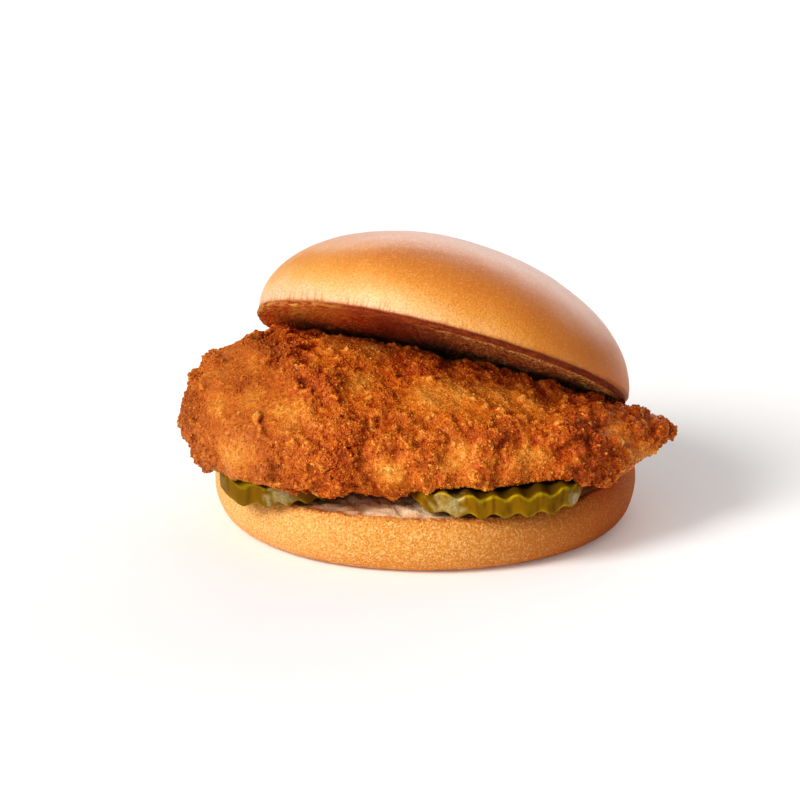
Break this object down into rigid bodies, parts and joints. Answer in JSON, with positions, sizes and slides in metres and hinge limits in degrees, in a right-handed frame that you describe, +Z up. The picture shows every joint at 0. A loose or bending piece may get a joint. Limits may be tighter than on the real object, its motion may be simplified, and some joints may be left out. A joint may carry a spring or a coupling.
{
  "type": "chicken burger",
  "caption": "Breaded fried chicken fillet in a round bun, with crinkle-cut pickle chips under the fillet and the bun's crown leaning back on it.",
  "frame": {"origin": "centre of the heel's flat base, the face that the burger rests on", "axes": "+X along the fillet towards its pointed end, +Y towards the back, where the crown's low edge rests on the heel, +Z up"},
  "size_m": [0.1231, 0.1051, 0.0747],
  "materials": {
    "bun_heel": "soft golden crust, fine-grained, dull, browned at the cut edge, with a paler crumb inside",
    "bun_crown": "smooth glazed crust with a soft sheen, golden brown on top and pale near the rim",
    "breading": "rough deep-fried breading, orange brown with darker crumbs and small oily glints",
    "pickle": "wet, slightly see-through olive flesh with a brighter yellow-green skin line"
  },
  "bodies": {
    "root": {"heel": "bun_heel", "pickle_left": "pickle", "pickle_right": "pickle", "fillet": "breading", "crown": "bun_crown"}
  },
  "joints": []
}
